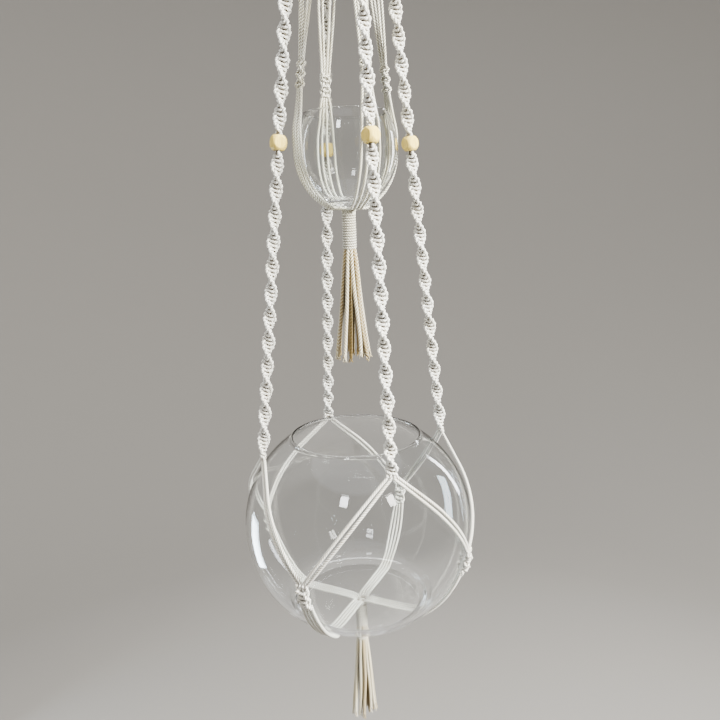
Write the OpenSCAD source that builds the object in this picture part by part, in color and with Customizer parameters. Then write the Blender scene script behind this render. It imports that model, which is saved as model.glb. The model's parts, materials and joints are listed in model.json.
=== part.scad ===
// Two-tier hanging planter: a knotted cord hanger with four outer arms that carry a large
// glass bowl, and a smaller hanger inside them that carries a small glass bowl.
// The origin is the point of the ring that bears on a hook, and +Z is up.
// A "drop" is a distance below that point.

/* [Ring] */
// Inside diameter of the hanging ring
ring_inner_d = 50; // [44:1:56]
// Thickness of the ring's round bar
ring_bar_d = 10; // [8:0.5:11]

/* [Cord] */
// Diameter of the outer hanger's cord
cord_d = 3.4; // [3:0.1:3.5]
// Diameter of the inner hanger's cord
inner_cord_d = 2.8; // [2.4:0.1:2.9]
// Coil spacing of the wrappings
coil_pitch = 2.5; // [2:0.1:3.5]

/* [Outer hanger] */
// Distance of each arm from the axis at the top wrapping
arm_top_r = 9.64; // [9.6:0.02:10]
// Distance of each arm from the axis at its lower end
arm_end_r = 103; // [98:1:106]
// Drop of the arms' lower ends
arm_end_drop = 960; // [950:1:965]
// Width of the spirals at their bulges
spiral_w = 14.5; // [13:0.1:15]
// Width of the spirals at their necks
spiral_neck_w = 8.6; // [7:0.1:11]
// Height of one bulge, half a turn of the spiral
half_turn = 26; // [22:1:30]
// Drop of the knots that join neighbouring arms over the large bowl
net_knot_drop = 1077; // [1070:1:1082]
// Height of those knots
net_knot_h = 25; // [20:1:28]

/* [Beads] */
// Width of the wooden beads
bead_w = 14.6; // [13:0.1:16]
// Hole through a bead
bead_bore_d = 7.6; // [7.4:0.1:8.5]
// Drop of the beads
bead_drop = 648; // [640:1:660]

/* [Large bowl] */
// Widest diameter
large_d = 250; // [246:1:252]
// Diameter of the rim
large_rim_d = 142.4; // [130:1:150]
// Drop of the widest part
large_drop = 1048.4; // [1046:0.2:1050]
// Height of the rim over the widest part
large_rim_h = 96; // [90:1:100]
// Depth of the foot under the widest part
large_foot_h = 103.6; // [100:0.2:106]
// Thickness of the wall
large_wall = 3; // [2.5:0.1:4]
// Width of the flat foot
large_foot_d = 137.6; // [130:0.2:138]
// Thickness of the foot
large_foot_t = 8; // [6:0.5:12]

/* [Inner hanger] */
// Turn of the inner hanger against the outer one
inner_turn = 7; // [0:1:15]
// Drop of the lower end of the wrapping where its arms part
inner_part_drop = 268; // [250:1:280]
// Drop of the top of its knots
inner_knot_drop = 573; // [565:1:580]
// Height of its knots
inner_knot_h = 27; // [22:1:28]
// Distance of its knots from the axis
inner_knot_r = 45.6; // [44:0.2:47]

/* [Small bowl] */
// Widest diameter
small_d = 102; // [100:0.5:103]
// Diameter of the rim
small_rim_d = 83.6; // [76:0.2:90]
// Drop of the widest part
small_drop = 655; // [653:1:657]
// Height of the rim over the widest part
small_rim_h = 35; // [30:1:38]
// Depth of the foot under the widest part
small_foot_h = 54; // [52:0.5:56]
// Thickness of the wall
small_wall = 1.8; // [1.4:0.1:2.5]
// Width of the flat foot
small_foot_d = 36; // [32:1:40]
// Thickness of the foot
small_foot_t = 6; // [4:0.5:8]

/* [Tassels] */
// Length of the tassel under the small bowl
inner_tassel_l = 121; // [90:1:130]
// Width of its lower end
inner_tassel_w = 38; // [24:1:42]
// Length of the tassel under the large bowl
lower_tassel_l = 108; // [80:1:120]
// Width of its lower end
lower_tassel_w = 33; // [20:1:40]

/* [Hidden] */

RIGHT = 0;
BACK = 90;
LEFT = 180;
FRONT = 270;

CORD_COLOUR = [0.90, 0.88, 0.82];
SHADE_COLOUR = [0.82, 0.78, 0.70];
WOOD_COLOUR = [0.85, 0.70, 0.48];
GLASS_COLOUR = [0.80, 0.90, 0.92, 0.35];

clear = 0.4;                                    // gap between glass and cord
strand_gap = 0.1;                               // gap between neighbouring strands
side_slots = [-1.5, -0.5, 0.5, 1.5];            // places of an arm's four strands, in pitches
tube_sides = 8;

// Top fitting
ring_mid_r = (ring_inner_d + ring_bar_d) / 2;
ring_bar_drop = ring_inner_d + ring_bar_d / 2;  // middle of the ring's lower bar
loop_clear = 1.1;
loop_count = 7;
top_wrap_drop = 64;
top_wrap_r = 13.5;
arm_top_drop = 108;                             // lower end of the top wrapping
spiral_top_drop = 165;

// Large bowl and the cords round it
large_r = large_d / 2;
on_bowl_r = large_r + clear + cord_d / 2;       // centre of a cord that lies on the large bowl
knot_t = 2 * cord_d;                            // thickness of a square knot
knot_r = large_r + clear + knot_t / 2;
net_knot_lat = -asin((net_knot_drop - large_drop) / knot_r);
net_knot_half = net_knot_h / 2 / knot_r * 180 / PI;
foot_drop = large_drop + large_foot_h;
wrap_r = 7.25;
lower_crown_r = 7.6;
inner_crown_r = 6.45;
lower_wrap_drop = foot_drop + clear + cord_d + 2.5;
lower_wrap_l = 43;
lower_tassel_drop = lower_wrap_drop + lower_wrap_l + clear;

// Small bowl and the cords round it
small_r = small_d / 2;
small_foot_drop = small_drop + small_foot_h;
inner_wrap_drop = small_foot_drop + clear + inner_cord_d + 1.5;
inner_wrap_l = 38;
inner_tassel_drop = inner_wrap_drop + inner_wrap_l + clear;
inner_part_wrap_l = 35;
inner_part_r = 6.5;                             // where the inner arms leave their wrapping

function unit(v) = v / norm(v);
function mix(a, b, t) = a + (b - a) * t;
function smooth(t) = t * t * (3 - 2 * t);
function radial(az) = [cos(az), sin(az), 0];
function sideways(az) = [-sin(az), cos(az), 0];
function arm_r(drop) =
    mix(arm_top_r, arm_end_r, (drop - arm_top_drop) / (arm_end_drop - arm_top_drop));
function on_arm(az, drop, shift = 0) =
    radial(az) * arm_r(drop) + sideways(az) * shift + [0, 0, -drop];
function pitch_of(d) = d + strand_gap;

// Part of an ellipse as [radius, height] points, from angle a to angle b
function arc(rx, rz, a, b, n) =
    [for (i = [0:n]) let (t = mix(a, b, i / n)) [rx * cos(t), rz * sin(t)]];

// Vertical half-axis of the ellipse through a rim at height h and radius r
function rim_axis(r_max, r, h) = h / sqrt(1 - pow(r / r_max, 2));

module strand(p, q, d) {
    v = q - p;
    translate(p)
        rotate([0, acos(v.z / norm(v)), atan2(v.y, v.x)])
            cylinder(d = d, h = norm(v), $fn = 16);
}

// A cord along a list of points. across is a direction that is never along the cord.
module tube(path, d, across) {
    last = len(path) - 1;
    rings = [
        for (i = [0:last])
            let (
                t = unit(path[min(i + 1, last)] - path[max(i - 1, 0)]),
                u = unit(across - (across * t) * t),
                v = cross(t, u)
            )
            for (k = [0:tube_sides - 1])
                let (a = 360 * k / tube_sides) path[i] + (u * cos(a) + v * sin(a)) * d / 2
    ];
    sides = [
        for (i = [0:last - 1])
            for (k = [0:tube_sides - 1])
                let (a = i * tube_sides, b = (k + 1) % tube_sides)
                [a + k, a + tube_sides + k, a + tube_sides + b, a + b]
    ];
    ends = [
        [for (k = [0:tube_sides - 1]) k],
        [for (k = [tube_sides - 1:-1:0]) last * tube_sides + k]
    ];
    polyhedron(rings, concat(sides, ends), convexity = 4);
}

// Coils of a wrapping, standing on its lower end
module coils(r, h) {
    n = round(h / coil_pitch);
    groove = 0.45;
    rotate_extrude($fn = 48)
        polygon(concat(
            [[0, 0]],
            [for (i = [0:2 * n]) [r - (i % 2 == 0 ? groove : 0), h * i / (2 * n)]],
            [[0, h]]
        ));
}

// A half-knot spiral between two points, drawn as its outer shape
module spiral(p, q) {
    v = q - p;
    length = norm(v);
    n = 4 * round(length / half_turn);
    translate(p)
        rotate([0, acos(v.z / length), atan2(v.y, v.x)])
            rotate_extrude($fn = 24)
                polygon(concat(
                    [[0, 0]],
                    [for (i = [0:n]) [
                        mix(spiral_neck_w, spiral_w, (1 - cos(90 * i)) / 2) / 2,
                        length * i / n
                    ]],
                    [[0, length]]
                ));
}

// A square-knot sinnet: a flat bar with a swelling at each knot, centred on its middle
module square_knots(width, thick, h, knots) {
    module bar(w, t, length) {
        linear_extrude(length) {
            square([w - t, t], center = true);
            for (s = [-1, 1])
                translate([s * (w - t) / 2, 0]) circle(d = t, $fn = 24);
        }
    }
    slim = 0.84;
    step = h / knots;
    translate([0, 0, -h / 2]) {
        bar(width * slim, thick * slim, h);
        for (i = [0:knots - 1])
            translate([0, 0, step * (i + 0.12)]) bar(width, thick, step * 0.76);
    }
}

module top_ring() {
    color(WOOD_COLOUR)
        translate([0, 0, -ring_inner_d / 2])
            rotate([90, 0, 0])
                rotate_extrude($fn = 96)
                    translate([ring_mid_r, 0]) circle(d = ring_bar_d, $fn = 48);
}

// The folded cords over the ring's lower bar, as loops side by side, and their legs
module top_loops() {
    loop_r = ring_bar_d / 2 + loop_clear + cord_d / 2;
    spacing = pitch_of(cord_d);
    legs_l = top_wrap_drop - ring_bar_drop;
    color(CORD_COLOUR)
        for (i = [0:loop_count - 1]) {
            x = (i - (loop_count - 1) / 2) * spacing;
            rise = ring_mid_r - sqrt(ring_mid_r * ring_mid_r - x * x);
            translate([x, 0, -ring_bar_drop + rise]) {
                rotate([90, 0, 90])
                    rotate_extrude(angle = 180, $fn = 48)
                        translate([loop_r, 0]) circle(d = cord_d, $fn = 16);
                for (s = [-1, 1])
                    translate([0, s * loop_r, -legs_l - rise])
                        cylinder(d = cord_d, h = legs_l + rise, $fn = 16);
            }
        }
}

module top_wrap() {
    color(CORD_COLOUR)
        translate([0, 0, -arm_top_drop])
            coils(top_wrap_r, arm_top_drop - top_wrap_drop);
}

module lead(az) {
    color(CORD_COLOUR)
        for (s = side_slots)
            strand(
                on_arm(az, arm_top_drop + 0.3, s * pitch_of(cord_d)),
                on_arm(az, spiral_top_drop, s * pitch_of(cord_d)),
                cord_d
            );
}

module upper_spiral(az) {
    color(CORD_COLOUR)
        spiral(on_arm(az, bead_drop - bead_w / 2 - clear), on_arm(az, spiral_top_drop));
}

// Rounded cube with a hole along the arm. turn is the way its faces look.
module bead(az, turn) {
    lean = atan(arm_r(1) - arm_r(0));
    color(WOOD_COLOUR)
        translate(on_arm(az, bead_drop))
            rotate([0, 0, az]) rotate([0, -lean, 0]) rotate([0, 0, turn - az])
                difference() {
                    intersection() {
                        cube(bead_w, center = true);
                        sphere(d = bead_w * 1.19, $fn = 64);
                    }
                    cylinder(d = bead_bore_d, h = 2 * bead_w, center = true, $fn = 48);
                }
}

// The spiral under a bead, with the strands that pass up through the bead's hole
module lower_spiral(az) {
    core_d = bead_bore_d - 1;
    top = bead_drop + bead_w / 2 + clear;
    color(CORD_COLOUR) {
        spiral(on_arm(az, arm_end_drop), on_arm(az, top));
        strand(on_arm(az, top + 1), on_arm(az, bead_drop - bead_w / 2 - clear), core_d);
    }
}

// Pairs of cords from an arm's end to the knot beside it. hand is 1 or -1 for the knot
// on the side of growing or falling azimuth. The first and last rings stand square to the
// spiral and to the knot, and between them the cords lie on a great circle of the bowl.
module net_cords(az, hand) {
    centre = [0, 0, -large_drop];
    rings = 12;
    start_shift = 3.3;
    start_gap = 0.9;                                // first ring, below the spiral
    bend_drop = 3.2;                                // where the great circle starts
    end_gap = 0.35;                                 // last ring, in degrees over the knot
    bend_lat = 1.3;                                 // where the great circle ends
    bow = 0.8;                                      // how far each cord bows out halfway
    half = pitch_of(cord_d) / 2;
    knot_az = az + 45 * hand;
    top_lat = net_knot_lat + net_knot_half;
    function by_knot(lat) =
        (radial(knot_az) * cos(lat) + [0, 0, sin(lat)]) * knot_r
        - sideways(knot_az) * hand * 2 * half;
    from = on_arm(az, arm_end_drop + bend_drop, hand * start_shift) - centre;
    to = by_knot(top_lat + bend_lat);
    a = unit(from);
    b = unit(to);
    across = unit(cross(a, b));
    level = unit([across.x, across.y, 0]);
    lie_r = on_bowl_r + 0.3;
    whole = acos(a * b);
    free = acos(lie_r / norm(from));                // angle before the cord meets the glass
    function rho(t) = whole * t < free ? lie_r / cos(free - whole * t) : lie_r;
    function along(t) = (a * sin(whole * (1 - t)) + b * sin(whole * t)) / sin(whole);
    color(CORD_COLOUR)
        for (s = [-1, 1])
            tube(
                concat(
                    [on_arm(az, arm_end_drop + start_gap, hand * start_shift) + level * s * half],
                    [for (i = [0:rings - 1])
                        let (t = i / (rings - 1))
                        centre + along(t) * rho(t) + across * s * (half + bow * sin(180 * t))],
                    [centre + by_knot(top_lat + end_gap) + sideways(knot_az) * s * half]
                ),
                cord_d,
                across
            );
}

module net_knot(az) {
    color(CORD_COLOUR)
        translate([0, 0, -large_drop])
            rotate([0, 0, az])
                rotate([0, -net_knot_lat, 0])
                    translate([knot_r, 0, 0])
                        rotate([0, 0, 90])
                            square_knots(4 * cord_d, knot_t, net_knot_h, 4);
}

// Four strands down from a knot, round the large bowl and under its foot to the middle
module base_strands(az) {
    first_lat = net_knot_lat - net_knot_half - 0.3;
    last_lat = -54;
    rings = 7;
    foot_r = large_foot_d / 2;
    under = foot_drop + clear + cord_d / 2;
    lie = concat(
        [for (i = [0:rings])
            let (lat = mix(first_lat, last_lat, i / rings))
            [cos(lat) * on_bowl_r, large_drop - sin(lat) * on_bowl_r]],
        [[foot_r + 1.7, under - 0.5], [foot_r - 5, under], [foot_r * 0.5, under]],
        [[lower_crown_r + 7, under + 0.2], [lower_crown_r + 0.15, under + 1]]
    );
    color(SHADE_COLOUR)
        for (s = side_slots)
            tube(
                [for (p = lie)
                    radial(az) * p[0] + sideways(az) * s * pitch_of(cord_d) + [0, 0, -p[1]]],
                cord_d,
                sideways(az)
            );
}

// A wrapping whose top is a low crown where the strands come in from the sides
module gather(drop, length, crown_r, crown_h) {
    translate([0, 0, -drop - length]) coils(wrap_r, length);
    translate([0, 0, -drop - 0.01]) cylinder(r = crown_r, h = crown_h, $fn = 48);
}

module lower_wrap() {
    color(CORD_COLOUR) gather(lower_wrap_drop, lower_wrap_l, lower_crown_r, cord_d + 1.6);
}

// Loose ends under a wrapping, as one closed shape with a round top
module tassel(drop, length, width) {
    top_r = wrap_r - 0.9;
    color(CORD_COLOUR)
        translate([0, 0, -drop])
            rotate_extrude($fn = 48)
                polygon(concat(
                    [for (p = arc(top_r, top_r, 90, 0, 6)) [p[0], p[1] - top_r]],
                    [
                        [mix(top_r, width / 2, 0.35), -length * 0.3],
                        [mix(top_r, width / 2, 0.72), -length * 0.68],
                        [width / 2, -length],
                        [0, -length]
                    ]
                ));
}

module lower_tassel() {
    tassel(lower_tassel_drop, lower_tassel_l, lower_tassel_w);
}

// A glass bowl turned about the axis: a round body, a flat foot and a plain rim
module bowl(r, rim_r, rim_h, foot_h, foot_r, wall, foot_t, drop) {
    top_axis = rim_axis(r, rim_r, rim_h);
    low_axis = rim_axis(r, foot_r + 4, foot_h - 2);
    rim_angle = asin(rim_h / top_axis);
    floor_h = foot_h - foot_t;
    in_r = r - wall;
    in_low = low_axis - wall;
    in_top = rim_axis(in_r, rim_r - wall, rim_h);
    in_angle = asin(rim_h / in_top);
    floor_angle = asin(floor_h / in_low);
    foot_angle = asin((foot_h - 2) / low_axis);
    profile = concat(
        [[0, -foot_h], [foot_r, -foot_h]],
        arc(r, low_axis, -foot_angle, 0, 14),
        arc(r, top_axis, rim_angle / 10, rim_angle, 9),
        [[rim_r - wall / 2, rim_h + wall / 2]],
        arc(in_r, in_top, in_angle, 0, 10),
        arc(in_r, in_low, -floor_angle / 14, -floor_angle, 13),
        [[0, -floor_h]]
    );
    color(GLASS_COLOUR)
        translate([0, 0, -drop]) rotate_extrude($fn = 96) polygon(profile);
}

module large_bowl() {
    bowl(large_r, large_rim_d / 2, large_rim_h, large_foot_h, large_foot_d / 2,
        large_wall, large_foot_t, large_drop);
}

module inner_bundle() {
    color(CORD_COLOUR)
        translate([0, 0, -inner_part_drop + inner_part_wrap_l])
            cylinder(
                r = 6.4,
                h = inner_part_drop - inner_part_wrap_l - arm_top_drop - clear,
                $fn = 32
            );
}

module inner_top_wrap() {
    color(CORD_COLOUR)
        translate([0, 0, -inner_part_drop]) coils(wrap_r, inner_part_wrap_l);
}

// Four plain strands from the inner hanger's upper wrapping to a knot
module inner_arm(az) {
    color(CORD_COLOUR)
        for (s = side_slots) {
            shift = sideways(az) * s * pitch_of(inner_cord_d);
            strand(
                radial(az) * inner_part_r + shift + [0, 0, -inner_part_drop - 0.3],
                radial(az) * (inner_knot_r - 1.6) + shift + [0, 0, -inner_knot_drop + 0.2],
                inner_cord_d
            );
        }
}

module inner_knot(az) {
    lean = atan((inner_knot_r - inner_part_r) / (inner_knot_drop - inner_part_drop));
    color(CORD_COLOUR)
        translate(radial(az) * inner_knot_r + [0, 0, -inner_knot_drop - inner_knot_h / 2])
            rotate([0, 0, az]) rotate([0, -lean, 0]) rotate([0, 0, 90])
                square_knots(4 * inner_cord_d, 2 * inner_cord_d, inner_knot_h, 4);
}

// Four strands from a knot, spread over the small bowl and gathered under it
module basket_strands(az) {
    off = clear + inner_cord_d / 2;
    lie_r = small_r + off;
    lie_h = rim_axis(small_r, small_foot_d / 2 + 4, small_foot_h - 2) + off;
    foot_r = small_foot_d / 2;
    under = small_foot_drop + off;
    turns = 9;
    wide = 6.2;
    top = inner_knot_drop + inner_knot_h + 0.4;
    lie = concat(
        [[inner_knot_r + 1.9, top], [small_r - 0.8, top + 20], [lie_r + 0.1, small_drop - 18]],
        [for (i = [0:turns])
            let (t = mix(0, 62, i / turns)) [lie_r * cos(t), small_drop + lie_h * sin(t)]],
        [[foot_r + 1.6, under + 0.2], [foot_r - 4, under + 0.4]],
        [[inner_crown_r + 0.15, under + 0.6]]
    );
    count = len(lie) - 1;
    color(CORD_COLOUR)
        for (s = side_slots)
            tube(
                [for (i = [0:count])
                    let (
                        opening = i <= 3 ? smooth(i / 3) : 1 - smooth(max(0, (i - 5) / (count - 5))),
                        gap = mix(pitch_of(inner_cord_d), wide, opening)
                    )
                    radial(az) * lie[i][0] + sideways(az) * s * gap + [0, 0, -lie[i][1]]],
                inner_cord_d,
                sideways(az)
            );
}

module inner_wrap() {
    color(CORD_COLOUR) gather(inner_wrap_drop, inner_wrap_l, inner_crown_r, inner_cord_d + 1);
}

module inner_tassel() {
    tassel(inner_tassel_drop, inner_tassel_l, inner_tassel_w);
}

module small_bowl() {
    bowl(small_r, small_rim_d / 2, small_rim_h, small_foot_h, small_foot_d / 2,
        small_wall, small_foot_t, small_drop);
}

top_ring();
top_loops();
top_wrap();
lead(RIGHT);  // lead_right
lead(BACK);  // lead_back
lead(LEFT);  // lead_left
lead(FRONT);  // lead_front
upper_spiral(RIGHT);  // upper_spiral_right
upper_spiral(BACK);  // upper_spiral_back
upper_spiral(LEFT);  // upper_spiral_left
upper_spiral(FRONT);  // upper_spiral_front
bead(RIGHT, 12);  // bead_right
bead(BACK, 0);  // bead_back
bead(LEFT, -12);  // bead_left
bead(FRONT, 25);  // bead_front
lower_spiral(RIGHT);  // lower_spiral_right
lower_spiral(BACK);  // lower_spiral_back
lower_spiral(LEFT);  // lower_spiral_left
lower_spiral(FRONT);  // lower_spiral_front
net_cords(RIGHT, 1);  // net_cords_1
net_cords(BACK, -1);  // net_cords_2
net_cords(BACK, 1);  // net_cords_3
net_cords(LEFT, -1);  // net_cords_4
net_cords(LEFT, 1);  // net_cords_5
net_cords(FRONT, -1);  // net_cords_6
net_cords(FRONT, 1);  // net_cords_7
net_cords(RIGHT, -1);  // net_cords_8
net_knot(RIGHT + 45);  // net_knot_1
net_knot(BACK + 45);  // net_knot_2
net_knot(LEFT + 45);  // net_knot_3
net_knot(FRONT + 45);  // net_knot_4
base_strands(RIGHT + 45);  // base_strands_1
base_strands(BACK + 45);  // base_strands_2
base_strands(LEFT + 45);  // base_strands_3
base_strands(FRONT + 45);  // base_strands_4
lower_wrap();
lower_tassel();
large_bowl();
inner_bundle();
inner_top_wrap();
inner_arm(RIGHT + inner_turn);  // inner_arm_1
inner_arm(BACK + inner_turn);  // inner_arm_2
inner_arm(LEFT + inner_turn);  // inner_arm_3
inner_arm(FRONT + inner_turn);  // inner_arm_4
inner_knot(RIGHT + inner_turn);  // inner_knot_1
inner_knot(BACK + inner_turn);  // inner_knot_2
inner_knot(LEFT + inner_turn);  // inner_knot_3
inner_knot(FRONT + inner_turn);  // inner_knot_4
basket_strands(RIGHT + inner_turn);  // basket_strands_1
basket_strands(BACK + inner_turn);  // basket_strands_2
basket_strands(LEFT + inner_turn);  // basket_strands_3
basket_strands(FRONT + inner_turn);  // basket_strands_4
inner_wrap();
inner_tassel();
small_bowl();
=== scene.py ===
# Two-tier hanging planter in knotted cotton cord, with two glass bowls.
# Lengths inside the script are in millimetres until a mesh is made. A "drop" is a distance
# below the point where the ring bears on its hook, which is the frame's origin.
import json
import math

import bpy
import numpy as np
from mathutils import Matrix, Vector


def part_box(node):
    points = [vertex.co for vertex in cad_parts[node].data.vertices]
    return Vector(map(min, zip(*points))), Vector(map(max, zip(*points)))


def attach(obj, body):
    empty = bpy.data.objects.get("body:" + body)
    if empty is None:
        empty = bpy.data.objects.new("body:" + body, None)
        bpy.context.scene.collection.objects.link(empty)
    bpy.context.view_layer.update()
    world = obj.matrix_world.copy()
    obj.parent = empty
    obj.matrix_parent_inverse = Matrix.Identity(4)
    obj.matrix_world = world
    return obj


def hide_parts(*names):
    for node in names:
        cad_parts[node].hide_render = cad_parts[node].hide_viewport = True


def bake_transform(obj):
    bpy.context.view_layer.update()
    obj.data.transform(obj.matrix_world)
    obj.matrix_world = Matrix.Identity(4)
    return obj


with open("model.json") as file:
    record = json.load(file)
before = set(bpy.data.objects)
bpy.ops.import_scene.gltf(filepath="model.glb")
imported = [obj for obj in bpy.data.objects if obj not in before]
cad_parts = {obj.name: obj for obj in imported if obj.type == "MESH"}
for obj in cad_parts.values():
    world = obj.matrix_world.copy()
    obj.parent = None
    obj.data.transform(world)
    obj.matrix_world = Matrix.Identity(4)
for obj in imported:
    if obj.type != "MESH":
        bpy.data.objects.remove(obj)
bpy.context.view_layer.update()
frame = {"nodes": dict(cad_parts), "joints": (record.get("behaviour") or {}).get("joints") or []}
rng = np.random.default_rng(11)
MM = 0.001
UP = np.array([0.0, 0.0, 1.0])
ARMS = {"right": 0, "back": 90, "left": 180, "front": 270}


# ---------------------------------------------------------------- camera
TURN = -0.311  # the photograph looks at the object from this turn, in radians
DISTANCE, ASIDE, CAMERA_DROP = 690.2, -10.9, 715.0
YAW, PITCH, ROLL = 0.026, 0.219, -0.03
FOCAL = 33.23  # for a sensor 36 mm wide


def make_camera():
    """The photograph's view, from about the height of the small bowl's foot."""
    cy, sy, cp, sp = math.cos(YAW), math.sin(YAW), math.cos(PITCH), math.sin(PITCH)
    forward = Vector((sy * cp, cy * cp, -sp))
    right = Vector((cy, -sy, 0))
    up = right.cross(forward)
    right, up = (
        right * math.cos(ROLL) + up * math.sin(ROLL),
        up * math.cos(ROLL) - right * math.sin(ROLL),
    )
    turn = Matrix.Rotation(TURN, 3, "Z")
    right, up, forward = turn @ right, turn @ up, turn @ forward
    place = turn @ Vector((ASIDE, -DISTANCE, 0)) * MM
    place.z = -CAMERA_DROP * MM
    data = bpy.data.cameras.new("camera")
    data.sensor_width = 36
    data.lens = FOCAL
    data.clip_start, data.clip_end = 0.02, 60
    camera = bpy.data.objects.new("camera", data)
    bpy.context.scene.collection.objects.link(camera)
    basis = Matrix((right, up, -forward)).transposed().to_4x4()
    camera.matrix_world = Matrix.Translation(place) @ basis
    bpy.context.scene.camera = camera
    return camera


camera = make_camera()


# ---------------------------------------------------------------- shapes from the frame
def low(node):
    """A node's lowest corner, in millimetres."""
    return np.array(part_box(node)[0]) / MM


def high(node):
    """A node's highest corner, in millimetres."""
    return np.array(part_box(node)[1]) / MM


def radial(az):
    """Level, away from the middle."""
    return np.array([math.cos(math.radians(az)), math.sin(math.radians(az)), 0.0])


def sideways(az):
    """Level, across an arm."""
    return np.array([-math.sin(math.radians(az)), math.cos(math.radians(az)), 0.0])


def unit(v):
    return v / np.linalg.norm(v)


bead_joint = next(j for j in frame["joints"] if j["name"] == "bead_right_turn")
BEAD_R, BEAD_DROP = bead_joint["pos_m"][0] / MM, -bead_joint["pos_m"][2] / MM
ARM_SLOPE = -bead_joint["axis"][0] / bead_joint["axis"][2]

TOP_WRAP = -high("top_wrap")[2], -low("top_wrap")[2], high("top_wrap")[0]
SPIRAL_TOP = -low("lead_right")[2]
BEAD_HALF = 7.2
ARM_END = -low("lower_spiral_right")[2] - 0.5
# Each bowl: its radius, the drop of its foot, and the foot's depth below its widest point.
LARGE_R, LARGE_FOOT, LARGE_DEPTH = high("large_bowl")[0], -low("large_bowl")[2], 103.6
SMALL_R, SMALL_FOOT, SMALL_DEPTH = high("small_bowl")[0], -low("small_bowl")[2], 54
LARGE_DROP, SMALL_DROP = LARGE_FOOT - LARGE_DEPTH, SMALL_FOOT - SMALL_DEPTH
SMALL_FOOT_R = 18
INNER_TURN = 7  # of the inner hanger against the outer one, in degrees
CORD, INNER_CORD = 3.4, 2.8
SLOTS = (-1.5, -0.5, 0.5, 1.5)  # four strands side by side, in strand widths


def arm_r(drop):
    """How far an outer arm's middle line is from the middle at a drop."""
    return BEAD_R + (drop - BEAD_DROP) * ARM_SLOPE


def on_arm(az, drop, shift=0.0):
    return radial(az) * arm_r(drop) + sideways(az) * shift - UP * drop


# ---------------------------------------------------------------- cord meshes
def resample(path, step):
    path = np.asarray(path, float)
    s = np.concatenate([[0], np.cumsum(np.linalg.norm(np.diff(path, axis=0), axis=1))])
    t = np.linspace(0, s[-1], max(3, int(round(s[-1] / step)) + 1))
    return np.column_stack([np.interp(t, s, path[:, k]) for k in range(3)])


def curve(points, step=1.0, fine=8):
    """A smooth line through the points, cut into even steps."""
    p = np.asarray(points, float)
    pad = np.vstack([2 * p[0] - p[1], p, 2 * p[-1] - p[-2]])
    a, b, c, d = (pad[i : len(pad) - 3 + i, None] for i in range(4))
    t = np.linspace(0, 1, fine + 1)[None, :-1, None]
    line = 0.5 * (
        2 * b + (c - a) * t + (2 * a - 5 * b + 4 * c - d) * t**2 + (3 * b - a - 3 * c + d) * t**3
    )
    return resample(np.vstack([line.reshape(-1, 3), p[-1]]), step)


def frames(path):
    """Tangent and two sides at each point, turned as little as possible along the line."""
    t = np.gradient(path, axis=0)
    t /= np.linalg.norm(t, axis=1)[:, None]
    u = np.empty_like(t)
    side = np.cross(t[0], UP if abs(t[0][2]) < 0.9 else np.array([1.0, 0, 0]))
    u[0] = side / np.linalg.norm(side)
    for i in range(1, len(t)):
        v = u[i - 1] - t[i] * (u[i - 1] @ t[i])
        u[i] = v / math.sqrt(v @ v)
    return t, u, np.cross(t, u)


def add_object(name, verts, faces, material):
    """A smooth mesh object from points in metres."""
    mesh = bpy.data.meshes.new(name)
    mesh.from_pydata(verts, [], faces)
    mesh.polygons.foreach_set("use_smooth", [True] * len(mesh.polygons))
    mesh.update()
    obj = bpy.data.objects.new(name, mesh)
    bpy.context.scene.collection.objects.link(obj)
    obj.data.materials.append(material)
    return obj


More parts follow.
